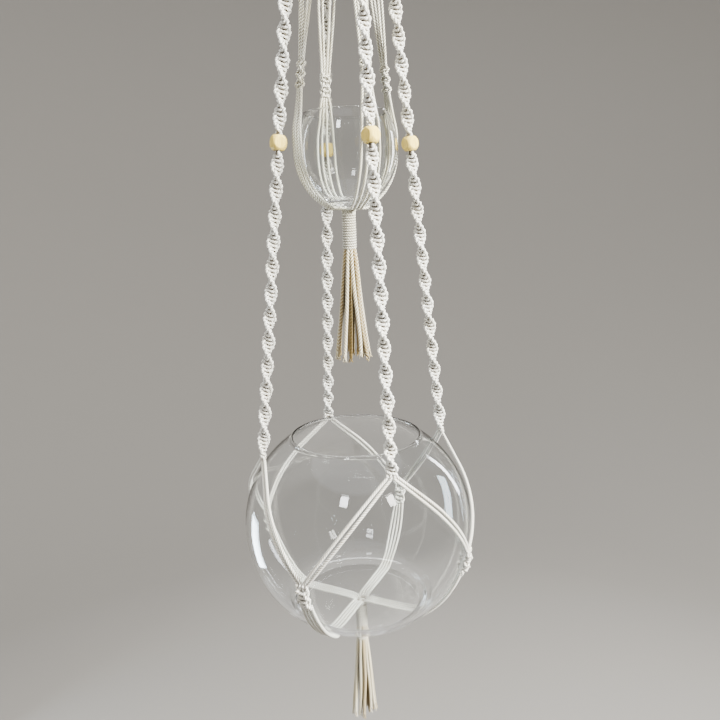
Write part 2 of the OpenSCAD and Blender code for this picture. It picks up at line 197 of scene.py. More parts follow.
class Piece:
    """Collects closed tubes into one mesh, with a tone at each vertex that carries painted shade."""

    def __init__(self):
        self.verts, self.faces, self.tones, self.n = [], [], [], 0

    def add(self, verts, faces, tones):
        self.verts.append(np.asarray(verts, float))
        self.faces += [[i + self.n for i in f] for f in faces]
        self.tones.append(np.asarray(tones, float))
        self.n += len(verts)

    def cord(
        self, path, d, lay=9.0, hand=1, sides=15, tone=1.0, depth=0.32, plies=3, taper=None, painted_shade=None,
        groove_shade=0.12,
    ):
        """A twisted cord along an even path. lay is the length of a turn of its plies, and
        hand the way that they turn. groove_shade is the tone between the plies, a painted shade
        in the grooves. painted_shade takes the vertices and gives a second tone, a painted shade
        for the places that lie deep in a knot."""
        t, u, v = frames(path)
        gaps = np.linalg.norm(np.diff(path, axis=0), axis=1)
        s = np.concatenate([[0], np.cumsum(gaps)])
        theta = np.linspace(0, 2 * math.pi, sides, endpoint=False)
        start = rng.uniform(0, 2 * math.pi)
        lobe = np.abs(
            np.cos(plies / 2 * (theta[None] - hand * 2 * math.pi * s[:, None] / lay - start))
        )
        wide = (d / 2) * (1 - depth * (1 - lobe**0.8))
        if taper is not None:
            wide = wide * taper[:, None]
        rings = (
            path[:, None]
            + u[:, None] * (wide * np.cos(theta))[..., None]
            + v[:, None] * (wide * np.sin(theta))[..., None]
        )
        # Painted shade, darker in the grooves between the plies.
        shade = tone * (groove_shade + (1 - groove_shade) * lobe**2.4)
        first = path[0] + (rings[0] - path[0]) * 0.62 - t[0] * d * 0.16
        last = path[-1] + (rings[-1] - path[-1]) * 0.62 + t[-1] * d * 0.16
        tips = [path[0] - t[0] * d * 0.22, path[-1] + t[-1] * d * 0.22]
        allrings = np.concatenate([[first], rings, [last]])
        tones = np.concatenate([[shade[0]], shade, [shade[-1]]])
        # Painted shade for the places that lie deep in a knot or a coil.
        if painted_shade is not None:
            tones = tones * painted_shade(allrings.reshape(-1, 3)).reshape(tones.shape)
        count = len(allrings)
        i = np.arange(count - 1)[:, None] * sides
        k = np.arange(sides)[None]
        nxt = (k + 1) % sides
        quads = np.stack([i + k, i + nxt, i + sides + nxt, i + sides + k], -1).reshape(-1, 4)
        foot, head = count * sides, count * sides + 1
        top = (count - 1) * sides
        faces = quads.tolist()
        faces += [[foot, (j + 1) % sides, j] for j in range(sides)]
        faces += [[head, top + j, top + (j + 1) % sides] for j in range(sides)]
        self.add(
            np.vstack([allrings.reshape(-1, 3), tips]),
            faces,
            np.concatenate([tones.ravel(), [tone * 0.7] * 2]),
        )

    def build(self, name, body, nodes, material):
        obj = add_object(name, (np.vstack(self.verts) * MM).tolist(), self.faces, material)
        obj.data.attributes.new("tone", "FLOAT", "POINT").data.foreach_set(
            "value", np.concatenate(self.tones).astype(np.float32)
        )
        if body:
            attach(obj, body)
        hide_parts(*nodes)
        return obj


# ---------------------------------------------------------------- knots
# One working cord over half a knot, from the middle of the back bar round the left side to
# the middle of the front bar: sideways and outward places, and progress down in half knots.
SWEEP = (
    (0, 1, 0), (-0.5, 0.98, 0.12), (-0.74, 0.35, -0.04), (-0.66, -0.55, -0.38),
    (-0.8, -1.22, -0.44), (-1.12, -1.25, -0.14), (-1.14, -0.35, 0.24), (-0.98, -0.3, 0.54),
    (-0.74, -0.75, 0.78), (-0.45, -1, 0.9),
)
ENTER = ((-1.1, -0.1, 0.2), (-0.98, -0.3, 0.62), (-0.74, -0.72, 0.9), (-0.45, -1, 0.99), (0, -1, 1))
LEAVE = ((0.5, -0.98, 0.98), (0.74, -0.35, 0.78), (0.66, 0.55, 0.5), (0.8, 1.22, 0.52),
         (1.12, 1.25, 0.88), (1.14, 0.35, 1.3))
RETURN = ((1.14, -0.35, 1.6), (0.74, -0.85, 1.9), (0.45, -1, 1.99), (0, -1, 2))


def half_knots(count):
    """Both working cords of a spiral of half knots: lists of (side, out, progress)."""
    first = list(ENTER)
    for k in range(1, count):
        sign = -1 if k % 2 else 1
        wobble = rng.uniform(0.93, 1.06, 2)
        first += [(x * sign * wobble[0], y * sign * wobble[1], s + k) for x, y, s in SWEEP[1:]]
        first.append((0, -sign, k + 1))
    return [first, [(-x, -y, s) for x, y, s in first]]


def square_knots(count):
    """Both working cords of a sinnet of square knots, as in half_knots."""
    first = list(ENTER)
    for k in range(count):
        m = 1 if k % 2 == 0 else -1
        first += [(x * m, y, s + k) for x, y, s in LEAVE]
        if k < count - 1:
            first += [(x * m, y, s + k) for x, y, s in RETURN]
    return [first, [(-x, -y, s) for x, y, s in first]]


def deep(origin, axis, near, far, least=0.3):
    """Painted shade: a darker tone for the parts of a knot or a coil that lie close to its middle line.
    """

    def tone(p):
        q = p - origin
        off = np.linalg.norm(q - np.outer(q @ axis, axis), axis=1)
        return least + (1 - least) * np.clip((off - near) / (far - near), 0, 1)

    return tone


# ---------------------------------------------------------------- materials
def add_node(tree, kind, inputs, **settings):
    """A new shader node. Each input is a value, or another node's output to link."""
    node = tree.nodes.new("ShaderNode" + kind)
    for key, value in settings.items():
        setattr(node, key, value)
    for key, value in inputs.items():
        if isinstance(value, bpy.types.NodeSocket):
            tree.links.new(value, node.inputs[key])
        else:
            node.inputs[key].default_value = value
    return node


def material(name, colour, rough):
    """A plain material, with its node tree and its shader."""
    m = bpy.data.materials.new(name)
    m.use_nodes = True
    bsdf = m.node_tree.nodes["Principled BSDF"]
    bsdf.inputs["Base Color"].default_value = (*colour, 1)
    bsdf.inputs["Roughness"].default_value = rough
    return m, m.node_tree, bsdf


def mixed(tree, factor, first, second, **settings):
    """The colour between two colours. Each is three numbers or another node's output."""
    first, second = (
        c if isinstance(c, bpy.types.NodeSocket) else (*c, 1) for c in (first, second)
    )
    return add_node(
        tree, "Mix", {0: factor, 6: first, 7: second}, data_type="RGBA", **settings
    ).outputs[2]


def stretched(tree, value, low_end, high_end, **to):
    """A value's range from low_end to high_end stretched to 0 to 1, or to another range."""
    ends = {"Value": value, "From Min": low_end, "From Max": high_end, **to}
    return add_node(tree, "MapRange", ends).outputs["Result"]


def roughen(tree, bsdf, height, strength):
    """A fine relief, 0.3 mm deep at full strength."""
    bump = add_node(tree, "Bump", {"Strength": strength, "Distance": 0.0003, "Height": height})
    tree.links.new(bump.outputs["Normal"], bsdf.inputs["Normal"])


def cotton(name, light, dark, painted_shade):
    """Matt cotton: fine fibres along and across, and painted shade from the tone at each vertex,
    so that it is paler on the ridges than in the grooves and in the depths of knots and coils.
    """
    m, tree, bsdf = material(name, light, 0.86)
    bsdf.inputs["Sheen Weight"].default_value = 0.35
    bsdf.inputs["Sheen Roughness"].default_value = 0.6
    bsdf.inputs["Specular IOR Level"].default_value = 0.25
    where = add_node(tree, "TexCoord", {}).outputs["Object"]
    tone = add_node(tree, "Attribute", {}, attribute_name="tone").outputs["Fac"]
    broad = add_node(tree, "TexNoise", {"Vector": where, "Scale": 26, "Detail": 4}).outputs["Fac"]
    fine = add_node(tree, "TexNoise", {"Vector": where, "Scale": 1900, "Detail": 5}).outputs["Fac"]
    cord = mixed(tree, stretched(tree, broad, 0.3, 0.62), dark, light)
    # Painted shade: a low tone draws the cord towards the painted shade colour.
    cord = mixed(tree, stretched(tree, tone, 0.18, 0.86), painted_shade, cord)
    speck = stretched(tree, fine, 0.3, 0.7, **{"To Min": 0.72, "To Max": 1.08})
    cord = mixed(tree, 0.35, cord, speck, blend_type="MULTIPLY")
    tree.links.new(cord, bsdf.inputs["Base Color"])
    roughen(tree, bsdf, fine, 0.5)
    return m


def wood(name, light, dark, along, rings):
    """Pale smooth wood with a fine straight grain. along is the grain's direction."""
    m, tree, bsdf = material(name, light, 0.45)
    bsdf.inputs["Specular IOR Level"].default_value = 0.4
    where = add_node(tree, "TexCoord", {}).outputs["Object"]
    scale = [rings * (0.12 if a else 1.0) for a in along]
    turned = add_node(tree, "Mapping", {"Vector": where, "Scale": scale}).outputs["Vector"]
    grain = add_node(
        tree, "TexNoise", {"Vector": turned, "Scale": 1, "Detail": 8, "Roughness": 0.62}
    ).outputs["Fac"]
    tree.links.new(
        mixed(tree, stretched(tree, grain, 0.32, 0.66), dark, light), bsdf.inputs["Base Color"]
    )
    roughen(tree, bsdf, grain, 0.12)
    return m


def glass(name, tint):
    """Clear glass that lets the lamps' light through to what lies behind it."""
    m, tree, bsdf = material(name, tint, 0.0)
    bsdf.inputs["Transmission Weight"].default_value = 1.0
    bsdf.inputs["IOR"].default_value = 1.5
    clear = add_node(tree, "BsdfTransparent", {"Color": (0.93, 0.94, 0.94, 1)})
    shadow = add_node(tree, "LightPath", {}).outputs["Is Shadow Ray"]
    choose = add_node(
        tree, "MixShader", {"Fac": shadow, 1: bsdf.outputs["BSDF"], 2: clear.outputs["BSDF"]}
    )
    tree.links.new(choose.outputs["Shader"], tree.nodes["Material Output"].inputs["Surface"])
    return m


# Each cotton's colours: light and dark, which vary at random over the cord, then the painted shade
# colour for grooves, knots and coils.
OUTER = cotton("outer_cotton", (0.87, 0.86, 0.81), (0.78, 0.755, 0.67), (0.20, 0.16, 0.105))
INNER = cotton("inner_cotton", (0.85, 0.84, 0.76), (0.72, 0.685, 0.55), (0.15, 0.12, 0.06))
TASSEL = cotton("tassel_cotton", (0.86, 0.84, 0.74), (0.72, 0.645, 0.43), (0.20, 0.135, 0.04))
BEAD_WOOD = wood("bead_maple", (0.73, 0.575, 0.21), (0.56, 0.415, 0.115), (0, 0, 1), 900)
RING_WOOD = wood("ring_beech", (0.66, 0.44, 0.22), (0.48, 0.29, 0.12), (1, 0, 0), 500)
LARGE_GLASS = glass("large_clear_glass", (0.985, 0.995, 1.0))
SMALL_GLASS = glass("small_clear_glass", (0.985, 0.995, 0.995))


# ---------------------------------------------------------------- arms
# A spiral makes half a turn in HALF_TURN, and a flat side of it faces the camera at one of
# these drops, over and under the bead.
HALF_TURN = 25.0
FLAT_OVER, FLAT_UNDER = 626, 693
KNOT_H = 4.05
SIN_W, SIN_T = 4.6, 1.5
WORK_D = 3.05


def spiral(piece, name, top, bottom, upper):
    """A half-knot spiral on an arm, over or under its bead."""
    az = ARMS[name]
    u = unit(on_arm(az, top) - on_arm(az, bottom))
    e1 = sideways(az)
    e2 = np.cross(u, e1)
    origin = on_arm(az, top)
    length = (bottom - top) / u[2]
    count = int(round((length - 3.0) / KNOT_H))
    h = (length - 3.0) / count
    # Over the bead the spiral starts flat along the leads. Under it, the last 45 mm ease, so
    # that the net cords leave sideways.
    facing = math.degrees(TURN) - 90 - az
    face = ((FLAT_OVER if upper else FLAT_UNDER) - top) / u[2]
    if upper:
        k = round(face / HALF_TURN - facing / 180)
        start, rate, ease = 0.0, (facing + 180 * k) / face, 0.0
    else:
        rate = 180 / HALF_TURN
        start = facing - face * rate
        ease = (start + length * rate + 90) % 180 - 90

    def place(points):
        out = []
        for x, y, s in points:
            late = min(1.0, max(0.0, (s - length + 45) / 45))
            a = math.radians(start + rate * max(0.0, s) - ease * late * late * (3 - 2 * late))
            out.append(
                origin - u * s
                + e1 * (x * math.cos(a) - y * math.sin(a))
                + e2 * (x * math.sin(a) + y * math.cos(a))
            )
        return np.array(out)

    # Painted shade near the spiral's middle line, deep between its bars.
    inner = deep(origin, u, 1.3, 3.1, 0.1)
    for sign, cord in zip((-1, 1), half_knots(count), strict=True):
        pts = []
        for x, y, s in cord:
            close = 1.0
            if not upper:
                close = min(1.0, 0.62 + 0.38 * s / 3)
            pts.append((x * SIN_W * close, y * SIN_T, 1.0 + s * h))
        if upper:
            pts = [(sign * 5.25, 0, -1.5), (sign * 5.3, 0, 0.5)] + pts
        else:
            pts = [(sign * 1.35, sign * 1.35, -18.0), (sign * 1.35, sign * 1.35, -1.0)] + pts
        line = place(pts)
        if upper:
            tail = [
                origin - u * (length - 1.0) + e1 * sign * 1.6 + e2 * sign * 1.9,
                origin - u * (length + 1.5) + e1 * sign * 1.35 + e2 * sign * 1.35,
                origin - u * (length + 6.0) + e1 * sign * 1.35 + e2 * sign * 1.35,
            ]
        else:
            side = 5.0 * sign
            tail = [
                origin - u * (length - 0.5) + e1 * side * 0.7 - e2 * sign * 2.2,
                origin - u * (length + 1.5) + e1 * side + e2 * sign * 0.5,
            ]
        path = curve(np.vstack([line, tail]), 1.0)
        piece.cord(path, WORK_D, lay=8.5, hand=sign, painted_shade=inner, groove_shade=0.36)
    # Two filler cords in the spiral's core, painted darker as shade.
    for sign in (-1, 1):
        steps = np.linspace(-1.5 if upper else -18.0, length + (6.0 if upper else 1.0), 60)
        pts = [(sign * 1.4, 0, s) for s in steps]
        piece.cord(curve(place(pts), 1.6), 2.3, hand=sign, sides=9, tone=0.4)


def net_path(az, hand):
    """The two cords of a pair, from an arm's end over the large bowl to the knot beside it."""
    centre = -UP * LARGE_DROP
    half = 1.75
    knot_az = az + 45 * hand
    top = NET_LAT + NET_HALF

    def by_knot(lat):
        a = math.radians(lat)
        on_net = (radial(knot_az) * math.cos(a) + UP * math.sin(a)) * NET_R
        return on_net - sideways(knot_az) * hand * 2 * half

    start = on_arm(az, ARM_END + 3.2, hand * 3.3) - centre
    end = by_knot(top + 1.3)
    a, b = unit(start), unit(end)
    across = unit(np.cross(a, b))
    level = unit(np.array([across[0], across[1], 0]))
    lie = ON_BOWL + 0.3
    whole = math.acos(a @ b)
    free = math.acos(lie / np.linalg.norm(start))
    lines = []
    for s in (-1, 1):
        pts = [on_arm(az, ARM_END - 2.5, hand * 2.6) + level * s * half * 0.9]
        pts.append(on_arm(az, ARM_END + 0.9, hand * 3.3) + level * s * half)
        for i in range(24):
            t = i / 23
            rho = lie / math.cos(free - whole * t) if whole * t < free else lie
            along = (a * math.sin(whole * (1 - t)) + b * math.sin(whole * t)) / math.sin(whole)
            bow = half + 0.8 * math.sin(math.pi * t)
            pts.append(centre + along * rho + across * s * bow)
        pts.append(centre + by_knot(top + 0.2) + sideways(knot_az) * s * half)
        pts.append(centre + by_knot(top - 1.2) + sideways(knot_az) * s * half)
        lines.append(pts)
    return lines


ON_BOWL = LARGE_R + 0.4 + CORD / 2
NET_R = LARGE_R + 0.4 + CORD
NET_KNOT_DROP, NET_KNOT_H = 1077, 25.0
NET_LAT = -math.degrees(math.asin((NET_KNOT_DROP - LARGE_DROP) / NET_R))
NET_HALF = math.degrees(NET_KNOT_H / 2 / NET_R)

for name, az in ARMS.items():
    leads = Piece()
    for i, s in enumerate(SLOTS):
        top = on_arm(az, TOP_WRAP[1] - 7, s * 3.1)
        mid = on_arm(az, TOP_WRAP[1] + 2, s * 3.4)
        sway = sideways(az) * rng.uniform(-0.25, 0.25) + radial(az) * rng.uniform(-0.3, 0.3)
        half_way = on_arm(az, (TOP_WRAP[1] + SPIRAL_TOP) / 2, s * 3.55) + sway
        end = on_arm(az, SPIRAL_TOP - 1, s * 3.5)
        leads.cord(curve([top, mid, half_way, end], 1.1), 3.3, hand=(-1) ** i)
    leads.build(f"strands_{name}", "outer_hanger", [f"lead_{name}"], OUTER)

    upper = Piece()
    spiral(upper, name, SPIRAL_TOP, BEAD_DROP - BEAD_HALF - 0.4, True)
    upper.build(f"spiral_{name}_upper", "outer_hanger", [f"upper_spiral_{name}"], OUTER)

    lower = Piece()
    spiral(lower, name, BEAD_DROP + BEAD_HALF + 0.4, ARM_END, False)
    lower.build(f"spiral_{name}_lower", "outer_hanger", [f"lower_spiral_{name}"], OUTER)

PAIRS = [(0, 1), (90, -1), (90, 1), (180, -1), (180, 1), (270, -1), (270, 1), (0, -1)]
for i, (az, hand) in enumerate(PAIRS, 1):
    pair = Piece()
    for j, line in enumerate(net_path(az, hand)):
        pair.cord(curve(line, 1.0, 4), 3.3, hand=1 if j else -1, sides=12)
    pair.build(f"net_pair_{i}", "outer_hanger", [f"net_cords_{i}"], OUTER)


def around(az, side, out, down, middle_r, centre_drop, lat):
    """A point beside a knot on a ball: side along the ball, out from it, down along it."""
    a = math.radians(lat) - down / middle_r
    turn = az + math.degrees(side / (middle_r * math.cos(math.radians(lat))))
    return (radial(turn) * math.cos(a) + UP * math.sin(a)) * (middle_r + out) - UP * centre_drop


for i in range(1, 5):
    az = 90 * i - 45
    knot = Piece()
    wide, thick, count, height = 4.75, 2.2, 4, NET_KNOT_H
    h = (height - 4.0) / count
    for sign, cord in zip((-1, 1), square_knots(count), strict=True):
        pts = [(sign * 5.25, 0.0, -2.0)]
        pts += [(x * wide, y * thick, 0.6 + s * h) for x, y, s in cord]
        leave = 1 if pts[-1][0] > 0 else -1
        pts += [(leave * 5.25, 0.0, height - 0.6), (leave * 5.25, 0.0, height + 2.0)]
        # Out is away from the glass, so the knot's front bars are the outer ones.
        line = [
            around(az, x, max(-y, -1.7), s - height / 2, NET_R, LARGE_DROP, NET_LAT)
            for x, y, s in pts
        ]
        knot.cord(curve(line, 0.9), 3.1, lay=7.5, hand=sign)
    for sign in (-1, 1):
        line = [
            around(az, sign * 1.6, 0.0, s, NET_R, LARGE_DROP, NET_LAT)
            for s in np.linspace(-height / 2 - 2, height / 2 + 2, 12)
        ]
        knot.cord(curve(line, 1.2), 2.9, hand=sign)
    knot.build(f"square_knot_{i}", "outer_hanger", [f"net_knot_{i}"], OUTER)

    base = Piece()
    first = NET_LAT - NET_HALF + 0.6
    under = LARGE_FOOT + 0.4 + CORD / 2
    for j, s in enumerate(SLOTS):
        line = []
        for k in range(12):
            lat = first + (-54 - first) * k / 11
            a = math.radians(lat)
            gap = 3.5 + 0.9 * math.sin(math.pi * min(1, k / 9))
            r = math.cos(a) * ON_BOWL
            line.append((r, LARGE_DROP - math.sin(a) * ON_BOWL, s * gap))
        line += [(70.5, under - 0.5, s * 3.5), (63.8, under, s * 3.4), (48, under, s * 3.4)]
        line += [(34, under, s * 3.3), (20, under + 0.1, s * 3.2), (12, under + 0.5, s * 3.05)]
        line += [(7.6, under + 2.2, s * 2.9), (5.6, under + 6.5, s * 2.2)]
        pts = []
        for r, drop, off in line:
            off = max(-r * 0.62, min(r * 0.62, off))
            pts.append(radial(az + math.degrees(math.asin(off / r))) * r - UP * drop)
        base.cord(curve(pts, 1.0), 3.2, hand=(-1) ** j)
    base.build(f"under_strands_{i}", "outer_hanger", [f"base_strands_{i}"], OUTER)


# ---------------------------------------------------------------- wrappings
def wrapping(piece, top, bottom, r, d, coils, core, tilt=0.0, tone=1.0):
    """A close coil of cord round a bundle, with its core."""
    turns = np.linspace(0, coils, int(coils * 24) + 1)
    line = []
    for t in turns:
        a = 2 * math.pi * t
        z = top + d / 2 + (bottom - top - d) * t / coils
        line.append([
            math.cos(a) * (r - d / 2), math.sin(a) * (r - d / 2),
            -z + tilt * math.cos(a - 0.6) * (r - d / 2),
        ])
    # Painted shade: the coil is darker where it turns in towards the core, and the core is painted
    # darker too.
    between = deep(np.zeros(3), UP, r - 1.1, r - 0.1, 0.0)
    piece.cord(curve(line, 1.1, 2), d, lay=7.0, hand=-1, sides=15, tone=tone, depth=0.2, painted_shade=between)
    span = np.linspace(top + 1.5, bottom - 1.5, 5)
    path = np.array([[0, 0, -z] for z in span])
    piece.cord(path, core * 2, lay=60, sides=24, depth=0.0, tone=0.75)


binding = Piece()
wrapping(binding, *TOP_WRAP[:2], TOP_WRAP[2], 2.8, 17, TOP_WRAP[2] - 2.0)
binding.build("top_wrapping", "outer_hanger", ["top_wrap"], OUTER)

loops = Piece()
ring_mid, bar_drop, loop_r = 30.0, 55.0, 7.8
for i in range(7):
    x = (i - 3) * 3.5
    drop = bar_drop - (ring_mid - math.sqrt(ring_mid**2 - x * x))
    line = [[x * 0.9, -loop_r - 0.6, -TOP_WRAP[0] - 5], [x, -loop_r, -TOP_WRAP[0] + 1]]
    line += [
        [x, -loop_r * math.cos(a), -drop + loop_r * math.sin(a)]
        for a in np.linspace(0, math.pi, 13)
    ]
    line += [[x, loop_r, -TOP_WRAP[0] + 1], [x * 0.9, loop_r + 0.6, -TOP_WRAP[0] - 5]]
    loops.cord(curve(line, 1.0), 3.3, hand=(-1) ** i)
loops.build("folded_loops", "outer_hanger", ["top_loops"], OUTER)

# Sixteen strands in a round bundle: their radius and angle.
BUNDLE = [(5.0, 360 * i / 11) for i in range(11)] + [(2.1, 72 * i + 20) for i in range(5)]

bundle = Piece()
in_top = -high("inner_top_wrap")[2]
in_bottom = -low("inner_top_wrap")[2]
for i, (r, a) in enumerate(BUNDLE):
    line = []
    for k in range(7):
        drop = 100 + (in_top + 6 - 100) * k / 6
        swell = 1.0 + 0.04 * math.sin(math.pi * k / 6) + rng.uniform(-0.02, 0.02)
        line.append(radial(a + 4 * k) * min(r * swell, 5.2) - UP * drop)
    bundle.cord(curve(line, 1.2), 2.7, hand=(-1) ** i)
bundle.build("bundle_strands", "inner_hanger", ["inner_bundle"], INNER)

part = Piece()
wrapping(part, in_top, in_bottom, 7.25, 2.4, 14, 5.5, 0.05)
part.build("parting_wrapping", "inner_hanger", ["inner_top_wrap"], INNER)

# ---------------------------------------------------------------- inner arms and basket
IN_KNOT_R, IN_KNOT_DROP, IN_KNOT_H = 45.6, 573, 27.0
PART_R, PART_DROP = 6.5, 268  # where the inner arms part
LEAN = math.atan((IN_KNOT_R - PART_R) / (IN_KNOT_DROP - PART_DROP))
# How far each inner arm's strands bow apart over its knot, and where its four strands lie
# side by side on the small bowl.
BOWS = 0.7, 1.7, 0.9, 1.2
BASKETS = (SLOTS, (-1.68, -0.34, 0.68, 1.6), SLOTS, (-1.6, -0.6, 0.5, 1.5))
for i in range(1, 5):
    az = 90 * (i - 1) + INNER_TURN
    arm = Piece()
    for j, s in enumerate(SLOTS):
        line = [radial(az) * 4.2 + sideways(az) * s * 2.2 - UP * (in_bottom - 7)]
        line.append(radial(az) * 6.3 + sideways(az) * s * 2.8 - UP * (in_bottom + 1))
        for t in (0.2, 0.4, 0.6, 0.8):
            drop = in_bottom + (IN_KNOT_DROP - in_bottom) * t
            r = PART_R + (IN_KNOT_R - 1.6 - PART_R) * t + rng.uniform(-0.8, 0.8)
            r += (4.2 if i % 2 else 1.8) * (-1) ** j * math.sin(math.pi * t) ** 0.8
            bow = 1 + BOWS[i - 1] * math.sin(math.pi * t) ** 0.8
            off = s * 2.9 * bow + rng.uniform(-0.7, 0.7)
            line.append(radial(az) * r + sideways(az) * off - UP * drop)
        line.append(radial(az) * (IN_KNOT_R - 1.6) + sideways(az) * s * 2.8 - UP * IN_KNOT_DROP)
        arm.cord(curve(line, 0.9, 24), 2.8, lay=8.5, hand=(-1) ** j)
    arm.build(f"arm_strands_{i}", "inner_hanger", [f"inner_arm_{i}"], INNER)

    knot = Piece()
    u = radial(az) * -math.sin(LEAN) + UP * math.cos(LEAN)
    e1 = sideways(az)
    e2 = np.cross(u, e1)
    mid = radial(az) * IN_KNOT_R - UP * (IN_KNOT_DROP + IN_KNOT_H / 2)
    outward = 1 if e2 @ radial(az) > 0 else -1

    def lie(x, y, s):
        return mid + e1 * x + e2 * outward * -y - u * (s - IN_KNOT_H / 2)

    count = 5
    h = (IN_KNOT_H - 3.6) / count
    for sign, cord in zip((-1, 1), square_knots(count), strict=True):
        pts = [(sign * 4.2, 0.0, -2.0)]
        pts += [(x * 3.8, y * 1.75, 0.5 + s * h) for x, y, s in cord]
        leave = 1 if pts[-1][0] > 0 else -1
        pts += [(leave * 4.2, 0.0, IN_KNOT_H - 0.4), (leave * 4.2, 0.0, IN_KNOT_H + 1.5)]
        # Painted shade near the knot's middle line.
        inner = deep(mid, u, 1.0, 3.2, 0.15)
        knot.cord(curve([lie(*p) for p in pts], 0.85), 2.6, lay=8.0, hand=sign, painted_shade=inner)
    for sign in (-1, 1):
        pts = [lie(sign * 1.3, 0, s) for s in np.linspace(-2, IN_KNOT_H + 2, 8)]
        knot.cord(curve(pts, 1.2), 2.3, hand=sign)
    knot.build(f"sinnet_{i}", "inner_hanger", [f"inner_knot_{i}"], INNER)

    basket = Piece()
    off_glass = 0.4 + INNER_CORD / 2
    lie_r = SMALL_R + off_glass
    low_axis = (SMALL_DEPTH - 2) / math.sqrt(1 - ((SMALL_FOOT_R + 4) / SMALL_R) ** 2)
    lie_h = low_axis + off_glass
    under = SMALL_FOOT + off_glass
    path = [(IN_KNOT_R + 1.5, 598.5), (IN_KNOT_R + 2.2, 604), (SMALL_R - 0.8, 620.4)]
    path.append((lie_r + 0.1, SMALL_DROP - 18))
    for k in range(10):
        a = math.radians(62 * k / 9)
        path.append((lie_r * math.cos(a), SMALL_DROP + lie_h * math.sin(a)))
    path += [(19.6, under + 0.2), (14, under + 0.4), (10, under + 0.5), (6.7, under + 1.4)]
    path.append((5.2, under + 6))
    last = len(path) - 1
    for j, s in enumerate(BASKETS[i - 1]):
        pts = []
        for k, (r, drop) in enumerate(path):
            if k <= 4:
                opening = (k / 4) ** 2 * (3 - 2 * k / 4)
            else:
                t = max(0.0, (k - 7) / (last - 7))
                opening = 1 - t * t * (3 - 2 * t)
            gap = 2.5 + (6.2 - 2.5) * opening
            off = max(-r * 0.6, min(r * 0.6, s * gap))
            pts.append(radial(az + math.degrees(math.asin(off / r))) * r - UP * drop)
        basket.cord(curve(pts, 0.9), 2.8, lay=8.5, hand=(-1) ** j)
    basket.build(f"basket_{i}", "inner_hanger", [f"basket_strands_{i}"], INNER)


# ---------------------------------------------------------------- gathering wraps and tassels
def gathering(name, node, body, mat, d, coils, crown, tilt):
    """A coil from crown below its node's top down to the node's bottom."""
    top_z, bottom_z = -high(node)[2], -low(node)[2]
    piece = Piece()
    wrapping(piece, top_z + crown, bottom_z, 7.25, d, coils, 5.5, tilt)
    return piece.build(name, body, [node], mat)


gathering("inner_wrapping", "inner_wrap", "inner_hanger", INNER, 2.65, 14, 3.6, 0.2)
gathering("lower_wrapping", "lower_wrap", "outer_hanger", OUTER, 2.5, 16, 4.0, 0.12)


def tassel(name, node, d, lay, wide):
    """Loose twisted strands under a wrapping, each with its plies open at the end. Each
    strand is a mesh object of its own, fixed to no body, that starts at the wrapping's lower edge."""
    top_z, bottom_z = -high(node)[2], -low(node)[2]
    length = bottom_z - top_z

    def shadowed(p):
        """Painted shade, darker towards the middle of the tassel, which widens from 5.6 mm to wide."""
        down = np.clip((-p[:, 2] - top_z) / length, 0, 1)
        off = np.hypot(p[:, 0], p[:, 1]) / (5.6 + (wide - 5.6) * down)
        return 0.3 + 0.7 * np.clip((off - 0.45) / 0.42, 0, 1)

    for i, (r, a) in enumerate(BUNDLE):
        a += rng.uniform(-7, 7)
        outer = r > 3
        r_low = (wide - d / 2) * (rng.uniform(0.74, 1.0) if outer else rng.uniform(0.1, 0.55))
        end = length - rng.uniform(1.5, 13.0)
        tone = rng.choice([1.0, 0.9, 0.78, 0.66, 0.54], p=[0.34, 0.2, 0.18, 0.16, 0.12])
        drift = rng.uniform(-16, 16)
        wave, phase = rng.uniform(0.5, 1.7), rng.uniform(0, 6.28)
        line = [radial(a) * r * 0.9 - UP * (top_z - 3), radial(a) * r - UP * (top_z + 1)]
        for t in (0.1, 0.25, 0.42, 0.6, 0.8, 1.0):
            ease = t**0.9
            rr = r + (r_low - r) * ease
            bend = wave * math.sin(phase + 5 * t)
            where = radial(a + drift * ease) * (rr + bend * t) + sideways(a) * bend * t
            line.append(where - UP * (top_z + end * t))
        path = curve(line, 0.95)
        split = int(rng.uniform(7, 12))
        piece = Piece()
        piece.cord(
            path[:-split], d, lay=lay, hand=(-1) ** i, tone=tone, depth=0.45, painted_shade=shadowed,
            groove_shade=0.0,
        )
        _, one_side, other_side = frames(path)
        for k in range(3):
            turn = 2 * math.pi * k / 3 + rng.uniform(-0.4, 0.4)
            ply, n = [], split + 2
            for m in range(n - k):
                j = len(path) - n + m
                spread = 0.24 * d + 0.42 * d * (m / n) ** 1.5 * rng.uniform(0.8, 1.1)
                at = turn + m * 0.35 * (-1) ** i
                aside = one_side[j] * math.cos(at) + other_side[j] * math.sin(at)
                ply.append(path[j] + aside * spread)
            piece.cord(
                np.array(ply), d * 0.46, lay=4, sides=9, tone=tone * 0.97, depth=0.1,
                taper=np.linspace(1.0, 0.6, len(ply)), painted_shade=shadowed,
            )
        strand = piece.build(f"{name}_{i + 1}", None, [node], TASSEL)
        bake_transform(strand)
        path = path[:-3]


tassel(
    "inner_strand", "inner_tassel", 3.9, 10.5,
    high("inner_tassel")[0] + 2.5,
)
tassel(
    "lower_strand", "lower_tassel", 3.9, 10.5,
    high("lower_tassel")[0] + 1.0,
)


